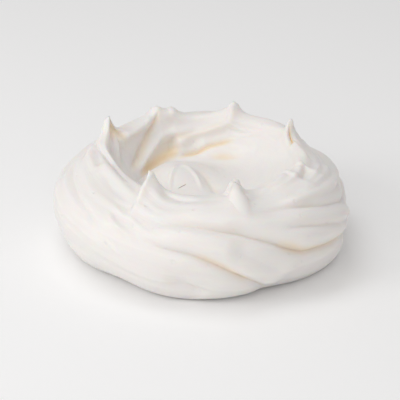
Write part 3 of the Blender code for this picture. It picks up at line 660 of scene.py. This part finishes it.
def folded_nest(azimuth, across):
    """Points of the finished nest (across, around, 3) and how much painted shade tints each crease."""
    points = plain_nest(azimuth, across)
    lift = np.zeros(points.shape[0] * points.shape[1])
    crease_shade = np.zeros_like(lift)
    press_wall_folds(azimuth, across, lift, crease_shade)
    press_floor_folds(points, across, lift, crease_shade)
    lift = lift.reshape(points.shape[:2]) + combed(azimuth, across)
    crease_shade = crease_shade.reshape(points.shape[:2])
    lift[-1] = lift[-1].mean()
    grip = smooth_step(points[..., 2] / GRIP_HEIGHT)
    points = points + outward(azimuth, across) * (lift * grip)[..., None]
    points[..., 2] = np.maximum(points[..., 2], 0.0)
    return points, crease_shade


# %% [markdown]
# ## How fine the mesh is
# In the finished piece, 512 columns run round the nest and 190 rows run from the edge of its foot to the
# top of its mound. That puts a point about every 0.4 mm. It is fine enough for the thinnest ridge to be
# real geometry, and it keeps the piece under 200,000 triangles.

# %% Work out the finished skin
COLUMNS = 512
ROWS = 190
azimuth = np.arange(COLUMNS) * 360.0 / COLUMNS
across = np.linspace(0.0, 1.0, ROWS)
plain = plain_nest(azimuth, across)
skin, crease_shade = folded_nest(azimuth, across)
skin_middle = 0.5 * (skin.min(axis=(0, 1)) + skin.max(axis=(0, 1)))
print("Skin size in mm:", np.round(np.ptp(skin.reshape(-1, 3), axis=0), 1))
print("Share of the skin with painted crease shade:", round(float((crease_shade > 0.3).mean()), 3))


# %% [markdown]
# ## Draw the section and turn it
# A potter would turn this bowl before touching it with a spoon, and the mesh is made in the same order.
# One vertex at the edge of the foot is extruded over the rim to the middle of the mound. Spin turns the
# line once round, the seam and the pole are merged, and the underside gets one flat face. The normals
# are recalculated, because a spin can leave the skin inside out.

# %% Draw the section
section_radius = 0.5 * np.ptp(plain[..., 0], axis=1) * MM
section_height = plain[..., 2].mean(axis=1) * MM
section = [Vector((r, 0.0, z)) for r, z in zip(section_radius, section_height)]


def nothing_selected():
    """Deselect every object, so that an operator acts only on what is added next."""
    bpy.ops.object.select_all(action="DESELECT")


def draw_line(name, points):
    """A new object in edit mode: one vertex extruded from point to point."""
    nothing_selected()
    bpy.ops.mesh.primitive_plane_add(size=MM, location=points[0])
    bpy.ops.object.transform_apply(location=True, rotation=True, scale=True)
    piece = bpy.context.active_object
    piece.name = name
    bpy.ops.object.mode_set(mode="EDIT")
    bpy.ops.mesh.select_all(action="SELECT")
    bpy.ops.mesh.merge(type="CENTER")
    for start, end in zip(points, points[1:]):
        bpy.ops.mesh.extrude_region_move(TRANSFORM_OT_translate={"value": end - start})
    return piece


cookie = draw_line("meringue_cookie", section)
print("Points in the section:", len(section))


# %% Spin it and close it
bpy.ops.mesh.select_all(action="SELECT")
bpy.ops.mesh.spin(steps=COLUMNS, angle=math.tau, center=(0.0, 0.0, 0.0), axis=(0.0, 0.0, 1.0))
bpy.ops.mesh.select_all(action="SELECT")
bpy.ops.mesh.remove_doubles(threshold=0.003 * MM)
bpy.ops.mesh.select_all(action="DESELECT")
bpy.ops.mesh.select_mode(type="EDGE")
bpy.ops.mesh.select_non_manifold()
bpy.ops.mesh.edge_face_add()
bpy.ops.mesh.select_all(action="SELECT")
bpy.ops.mesh.normals_make_consistent(inside=False)
bpy.ops.object.mode_set(mode="OBJECT")
mesh = cookie.data
print("Vertices:", len(mesh.vertices), "faces:", len(mesh.polygons))


# %% [markdown]
# ## Press the shape into the turned bowl
# Each vertex of the turned bowl belongs to one column and one row of the worked-out skin. Its angle gives
# the column and its place on the section gives the row, so it can be moved straight to where the lumps,
# tips and folds put it. The nest is centred on the box that the CAD solid has.

# %% Move every vertex to its place
places = np.empty(3 * len(mesh.vertices))
mesh.vertices.foreach_get("co", places)
places = places.reshape(-1, 3)
turned = np.degrees(np.arctan2(places[:, 1], places[:, 0]))
column = np.rint(turned * COLUMNS / 360.0).astype(int) % COLUMNS
radius = np.hypot(places[:, 0], places[:, 1])
gap = np.abs(radius[:, None] - section_radius) + np.abs(places[:, 2][:, None] - section_height)
row = np.argmin(gap, axis=1)
box_middle = 0.5 * (box_low + box_high)
shift = np.array([box_middle.x / MM - skin_middle[0], box_middle.y / MM - skin_middle[1], 0.0])
finished = (skin + shift) * MM
mesh.vertices.foreach_set("co", finished[row, column].ravel())
mesh.update()
bpy.ops.object.shade_smooth()
print("Largest gap to the section in mm:", round(float(gap.min(axis=1).max() / MM), 4))


# %% [markdown]
# ## What the surface knows about itself
# The foam is off-white. Hollows get painted shade, cream in wide hollows and gold to brown in deep creases,
# warmed like light bounced in the foam. A material can't tell a hollow from a hump alone, so three attributes
# are stored on the vertices: how hollow the skin is, how much painted shade its creases get, and which way
# the spoon went.
# stored on the vertices: how hollow the skin is, how much baking tinted it, and which way the spoon went.
# The last one is a place on a cylinder, with no seam, so streaks can be stretched along the stroke.

# %% Hollows, painted crease shade and strokes
def calmed(field, passes):
    """A field over the nest, each value averaged with its neighbours a number of times."""
    for turn in range(passes):
        field = 0.25 * np.roll(field, 1, axis=1) + 0.5 * field + 0.25 * np.roll(field, -1, axis=1)
        padded = np.concatenate([field[:1], field, field[-1:]])
        field = 0.25 * padded[:-2] + 0.5 * field + 0.25 * padded[2:]
    return field


def hollowness(passes):
    """How far the skin lies below its own average over a number of steps, in millimetres."""
    average = np.stack([calmed(skin[..., axis], passes) for axis in range(3)], axis=-1)
    return ((average - skin) * outward(azimuth, across)).sum(axis=-1)


def store(name, values):
    """Store one number for each vertex under a name that materials can read."""
    attribute = mesh.attributes.new(name, "FLOAT", "POINT")
    attribute.data.foreach_set("value", np.ascontiguousarray(values, dtype=np.float32).ravel())
    print(name, "from", round(float(values.min()), 2), "to", round(float(values.max()), 2))


# The wide hollow mask drives painted shade over hollows; the crease attribute is painted shade in the folds.
wide_hollow = hollowness(60)
store("wide_hollow", wide_hollow[row, column])
store("crease_shade", crease_shade[row, column])

STROKE_STEEPNESS = 8.0
place, place_length = mean_section()[:2]
length_here = np.interp(across[row], place, place_length)
around_here = np.radians(azimuth[column])
stroke = np.stack([
    np.cos(around_here),
    np.sin(around_here),
    length_here - STROKE_STEEPNESS * np.cos(around_here - math.radians(215.0)),
], axis=-1)
attribute = mesh.attributes.new("stroke", "FLOAT_VECTOR", "POINT")
attribute.data.foreach_set("vector", stroke.astype(np.float32).ravel())


# %% [markdown]
# ## Effects for the finish
# Each effect below is a node group: a small machine with named inputs and one output, a mask or a height.
# Groups keep the material readable, and one group can be used twice with other values.

# %% Helpers for node groups
def new_group(name, inputs, output):
    """An empty node group with number inputs {name: default} and one output."""
    group = bpy.data.node_groups.new(name, "ShaderNodeTree")
    for label, default in inputs.items():
        socket = group.interface.new_socket(label, in_out="INPUT", socket_type="NodeSocketFloat")
        socket.default_value = default
    group.interface.new_socket(output, in_out="OUTPUT", socket_type="NodeSocketFloat")
    return group, group.nodes.new("NodeGroupInput"), group.nodes.new("NodeGroupOutput")


def math_node(tree, operation, first, second=None, clamp=False):
    """One Math node; each value is a number or another node's output."""
    node = tree.nodes.new("ShaderNodeMath")
    node.operation = operation
    node.use_clamp = clamp
    for socket, value in zip(node.inputs, (first, second)):
        if value is None:
            continue
        if isinstance(value, (int, float)):
            socket.default_value = value
        else:
            tree.links.new(value, socket)
    return node.outputs[0]


def noise_node(tree, vector, scale, detail=2.0, roughness=0.5):
    """One Noise Texture node on a vector."""
    node = tree.nodes.new("ShaderNodeTexNoise")
    node.inputs["Scale"].default_value = scale
    node.inputs["Detail"].default_value = detail
    node.inputs["Roughness"].default_value = roughness
    tree.links.new(vector, node.inputs["Vector"])
    return node.outputs["Fac"]


def attribute_node(tree, name, output="Fac"):
    """One Attribute node for a value stored on the vertices."""
    node = tree.nodes.new("ShaderNodeAttribute")
    node.attribute_name = name
    return node.outputs[output]


def spread_node(tree, value, low, high, to_low=0.0, to_high=1.0):
    """One Map Range node that spreads low..high smoothly over to_low..to_high."""
    node = tree.nodes.new("ShaderNodeMapRange")
    node.interpolation_type = "SMOOTHSTEP"
    tree.links.new(value, node.inputs["Value"])
    node.inputs["From Min"].default_value = low
    node.inputs["From Max"].default_value = high
    node.inputs["To Min"].default_value = to_low
    node.inputs["To Max"].default_value = to_high
    return node.outputs["Result"]


# %% [markdown]
# ## Streaks left by the spoon
# The spoon pulls the skin into fine lines along its path. They are noise, read on the stroke attribute,
# which stretches it round the nest.

# %% Streaks left by the spoon
def spoon_streaks():
    """Fine lines along the stroke: Length in radians round the nest, Width in millimetres."""
    tree, given, result = new_group("spoon streaks", {"Length": 0.3, "Width": 0.8}, "Streaks")
    parts = tree.nodes.new("ShaderNodeSeparateXYZ")
    tree.links.new(attribute_node(tree, "stroke", "Vector"), parts.inputs["Vector"])
    joined = tree.nodes.new("ShaderNodeCombineXYZ")
    tree.links.new(math_node(tree, "DIVIDE", parts.outputs["X"], given.outputs["Length"]), joined.inputs["X"])
    tree.links.new(math_node(tree, "DIVIDE", parts.outputs["Y"], given.outputs["Length"]), joined.inputs["Y"])
    tree.links.new(math_node(tree, "DIVIDE", parts.outputs["Z"], given.outputs["Width"]), joined.inputs["Z"])
    streaks = noise_node(tree, joined.outputs["Vector"], 1.0, roughness=0.55)
    tree.links.new(streaks, result.inputs["Streaks"])
    return tree


streaks_group = spoon_streaks()


# %% [markdown]
# ## Bubbles in the foam
# Some bubbles broke the skin as it dried. A Voronoi texture divides the foam into cells, and only some
# of them get a pit.

# %% Bubbles in the foam
def foam_bubbles():
    """Small round pits where bubbles broke the skin: Size in millimetres, Share of cells that have one."""
    tree, given, result = new_group("foam bubbles", {"Size": 1.0, "Share": 0.3}, "Pits")
    where = tree.nodes.new("ShaderNodeTexCoord")
    cells = tree.nodes.new("ShaderNodeTexVoronoi")
    tree.links.new(where.outputs["Object"], cells.inputs["Vector"])
    tree.links.new(math_node(tree, "DIVIDE", 1.0 / MM, given.outputs["Size"]), cells.inputs["Scale"])
    chosen = tree.nodes.new("ShaderNodeSeparateColor")
    tree.links.new(cells.outputs["Color"], chosen.inputs["Color"])
    kept = math_node(tree, "LESS_THAN", chosen.outputs["Red"], given.outputs["Share"])
    size = math_node(tree, "MULTIPLY_ADD", chosen.outputs["Green"], 0.25)
    size.node.inputs[2].default_value = 0.1
    inside = math_node(tree, "SUBTRACT", size, cells.outputs["Distance"])
    depth = math_node(tree, "MULTIPLY", inside, 6.0, clamp=True)
    tree.links.new(math_node(tree, "MULTIPLY", depth, kept), result.inputs["Pits"])
    return tree


bubbles_group = foam_bubbles()


# %% [markdown]
# ## A crack in the crust
# The mound's hairline crack is far thinner than the mesh is fine, so it is drawn in the material, as a
# shallow groove in the bump and a dark line of painted shade. A Mapping node lays a ruler along it,
# noise bends it, and it tapers off at both ends.

# %% A crack in the crust
def hairline_crack(start_x, start_y, turn):
    """A thin broken line in the top skin, from a start in millimetres, turned by a number of degrees."""
    tree, given, result = new_group("hairline crack", {"Length": 3.0, "Width": 0.14}, "Crack")
    where = tree.nodes.new("ShaderNodeTexCoord").outputs["Object"]
    along = tree.nodes.new("ShaderNodeMapping")
    along.vector_type = "TEXTURE"
    along.inputs["Location"].default_value = (start_x * MM, start_y * MM, 0.0)
    along.inputs["Rotation"].default_value = (0.0, 0.0, math.radians(turn))
    along.inputs["Scale"].default_value = (MM, MM, MM)
    tree.links.new(where, along.inputs["Vector"])
    parts = tree.nodes.new("ShaderNodeSeparateXYZ")
    tree.links.new(along.outputs["Vector"], parts.inputs["Vector"])
    bend = math_node(tree, "SUBTRACT", noise_node(tree, where, 450.0), 0.5)
    aside = math_node(tree, "ABSOLUTE", math_node(tree, "ADD", parts.outputs["Y"], bend))
    share = math_node(tree, "DIVIDE", aside, given.outputs["Width"])
    thin = math_node(tree, "SUBTRACT", 1.0, share, clamp=True)
    left = math_node(tree, "SUBTRACT", given.outputs["Length"], parts.outputs["X"])
    ends = math_node(tree, "MINIMUM", parts.outputs["X"], left, clamp=True)
    on_top = math_node(tree, "GREATER_THAN", parts.outputs["Z"], 10.0)
    line = math_node(tree, "MULTIPLY", math_node(tree, "MULTIPLY", thin, ends), on_top)
    tree.links.new(line, result.inputs["Crack"])
    return tree


CRACK_START = (-5.9, -7.2)
CRACK_TURN = 37.0
crack_group = hairline_crack(CRACK_START[0] + shift[0], CRACK_START[1] + shift[1], CRACK_TURN)
print("Groups:", [group.name for group in (streaks_group, bubbles_group, crack_group)])


# %% [markdown]
# ## The baked meringue
# Egg white and sugar dry to a matt white skin that lets a little light through. Where the spoon pressed
# it smooth it has a soft gloss, in streaks. Hollows and deep creases get painted shade, cream to gold and
# brown, warmed like light bounced in the foam, and the crack is painted dark as shade. The colours are
# mixed from the hollow masks, the gloss follows the streaks, and all the fine relief goes into one Bump node.

# %% Helpers for the material
def group_node(tree, group, **values):
    """One group in a material, with its inputs set, and its only output."""
    node = tree.nodes.new("ShaderNodeGroup")
    node.node_tree = group
    for label, value in values.items():
        node.inputs[label].default_value = value
    return node.outputs[0]


def mix_colour(tree, share, first, second):
    """One Mix node between two colours; each is a colour or another node's output."""
    node = tree.nodes.new("ShaderNodeMix")
    node.data_type = "RGBA"
    tree.links.new(share, node.inputs["Factor"])
    colour_inputs = [socket for socket in node.inputs if socket.type == "RGBA"]
    for socket, value in zip(colour_inputs, (first, second)):
        if isinstance(value, tuple):
            socket.default_value = value
        else:
            tree.links.new(value, socket)
    return [socket for socket in node.outputs if socket.type == "RGBA"][0]


def add_up(tree, *heights):
    """The sum of several (height, factor) pairs."""
    total = None
    for height, factor in heights:
        part = math_node(tree, "MULTIPLY", height, factor)
        total = part if total is None else math_node(tree, "ADD", total, part)
    return total


# %% Mix the material
# WHITE is the foam's own colour; the others are painted shade in hollows, creases and the crack.
WHITE = (0.880, 0.850, 0.825, 1.0)
SHADE_CREAM = (0.885, 0.820, 0.730, 1.0)
SHADE_GOLD = (0.880, 0.720, 0.510, 1.0)
SHADE_BROWN = (0.740, 0.480, 0.250, 1.0)
CRACK_SHADE = (0.300, 0.200, 0.130, 1.0)
# Sizes per metre for the two noises, and heights of the relief in millimetres.
PATCH_SCALE = 110.0
GRAIN_SCALE = 2600.0
STREAK_RELIEF = 0.08
FINE_STREAK_RELIEF = 0.03
GRAIN_RELIEF = 0.02
PIT_RELIEF = -0.12
CRACK_RELIEF = -0.20


def baked_meringue():
    """The material of the whole cookie."""
    material = bpy.data.materials.new("baked meringue")
    material.use_nodes = True
    tree = material.node_tree
    shader = tree.nodes["Principled BSDF"]
    wide = attribute_node(tree, "wide_hollow")
    where = tree.nodes.new("ShaderNodeTexCoord").outputs["Object"]
    patches = noise_node(tree, where, PATCH_SCALE, detail=3.0)
    grain = noise_node(tree, where, GRAIN_SCALE)
    long_streaks = group_node(tree, streaks_group, Length=0.34, Width=1.1)
    fine_streaks = group_node(tree, streaks_group, Length=0.16, Width=0.35)
    pits = group_node(tree, bubbles_group, Size=1.7, Share=0.10)
    crack = group_node(tree, crack_group, Length=3.0, Width=0.14)

    uneven = math_node(tree, "MULTIPLY", math_node(tree, "SUBTRACT", patches, 0.5), 0.5)
    shade_tint = attribute_node(tree, "crease_shade")
    hollow = math_node(tree, "ADD", wide, uneven)
    deep = math_node(tree, "MULTIPLY", shade_tint, math_node(tree, "ADD", uneven, 1.0))
    # Painted shade: cream over wide hollows, gold then brown in deep creases, and dark in the crack.
    colour = mix_colour(tree, spread_node(tree, hollow, 0.2, 2.0), WHITE, SHADE_CREAM)
    colour = mix_colour(tree, spread_node(tree, deep, 0.0, 0.9), colour, SHADE_GOLD)
    colour = mix_colour(tree, spread_node(tree, deep, 0.65, 1.2, 0.0, 0.8), colour, SHADE_BROWN)
    colour = mix_colour(tree, crack, colour, CRACK_SHADE)
    tree.links.new(colour, shader.inputs["Base Color"])

    gloss = math_node(tree, "ADD", long_streaks, math_node(tree, "MULTIPLY", patches, 0.6))
    tree.links.new(spread_node(tree, gloss, 0.55, 1.05, 0.31, 0.60), shader.inputs["Roughness"])

    streaked = ((long_streaks, STREAK_RELIEF), (fine_streaks, FINE_STREAK_RELIEF), (grain, GRAIN_RELIEF))
    broken = ((pits, PIT_RELIEF), (crack, CRACK_RELIEF))
    relief = math_node(tree, "ADD", add_up(tree, *streaked), add_up(tree, *broken))
    bump = tree.nodes.new("ShaderNodeBump")
    bump.inputs["Strength"].default_value = 1.0
    bump.inputs["Distance"].default_value = MM
    tree.links.new(relief, bump.inputs["Height"])
    tree.links.new(bump.outputs["Normal"], shader.inputs["Normal"])

    shader.inputs["Subsurface Weight"].default_value = 0.4
    shader.inputs["Subsurface Radius"].default_value = (1.0, 0.6, 0.35)
    shader.inputs["Subsurface Scale"].default_value = 3.0 * MM
    shader.inputs["IOR"].default_value = 1.45
    return material


mesh.materials.append(baked_meringue())
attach(cookie, "root")
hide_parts(NODE)
print("Materials on the cookie:", [material.name for material in mesh.materials])


# %% [markdown]
# ## Floor
# The cookie stands on white paper. One large matt plane is enough, because its edges stay out of view.

# %% Floor
def pale_floor():
    """A wide white floor, lit like the paper under product shots."""
    nothing_selected()
    bpy.ops.mesh.primitive_plane_add(size=6.0, location=(0.0, 0.0, 0.0))
    floor = bpy.context.active_object
    floor.name = "floor"
    paper = bpy.data.materials.new("white paper")
    paper.use_nodes = True
    shader = paper.node_tree.nodes["Principled BSDF"]
    shader.inputs["Base Color"].default_value = (0.98, 0.98, 0.98, 1.0)
    shader.inputs["Roughness"].default_value = 0.9
    shader.inputs["Specular IOR Level"].default_value = 0.2
    floor.data.materials.append(paper)
    return floor


pale_floor()


# %% [markdown]
# ## Light
# A pale cookie on a pale floor is shown by soft shadows alone. The surroundings give most of the light,
# so no fold goes black. The key light on the left draws the shade on the right side and the gloss.

# %% Light
AIM = Vector((0.0, 0.0, 15.0)) * MM


def lamp(name, place, size, power):
    """A square white lamp at a place in metres, turned towards the cookie."""
    data = bpy.data.lights.new(name, "AREA")
    data.size = size
    data.energy = power
    light = bpy.data.objects.new(name, data)
    bpy.context.scene.collection.objects.link(light)
    light.location = place
    light.rotation_euler = (AIM - Vector(place)).to_track_quat("-Z", "Y").to_euler()
    return light


lamp("key light", (-0.50, -0.24, 0.32), 0.25, 0.75)
lamp("front soft box", (-0.20, -0.70, 0.55), 0.80, 1.7)
lamp("overhead soft box", (-0.15, 0.00, 0.60), 0.35, 0.7)
world = bpy.data.worlds.new("soft surroundings")
world.use_nodes = True
world.node_tree.nodes["Background"].inputs["Color"].default_value = (1.0, 0.99, 0.985, 1.0)
world.node_tree.nodes["Background"].inputs["Strength"].default_value = 0.50
bpy.context.scene.world = world
bpy.context.scene.view_settings.view_transform = "Standard"


# %% [markdown]
# ## Camera
# The camera looks down by 25 degrees from far away with a long lens, so the near side isn't enlarged.

# %% Camera
VIEW_DOWN = math.radians(25.0)
DISTANCE = 480.0 * MM
VIEW_WIDTH = 107.0 * MM
LOOK_AT = Vector((0.0, 1.5, 13.0)) * MM

camera_data = bpy.data.cameras.new("camera")
camera = bpy.data.objects.new("camera", camera_data)
bpy.context.scene.collection.objects.link(camera)
camera.location = LOOK_AT + DISTANCE * Vector((0.0, -math.cos(VIEW_DOWN), math.sin(VIEW_DOWN)))
camera.rotation_euler = (math.radians(90.0) - VIEW_DOWN, 0.0, 0.0)
camera_data.lens = camera_data.sensor_width * DISTANCE / VIEW_WIDTH
camera_data.clip_start = 10.0 * MM
bpy.context.scene.camera = camera
print("Lens in mm:", round(camera_data.lens, 1))
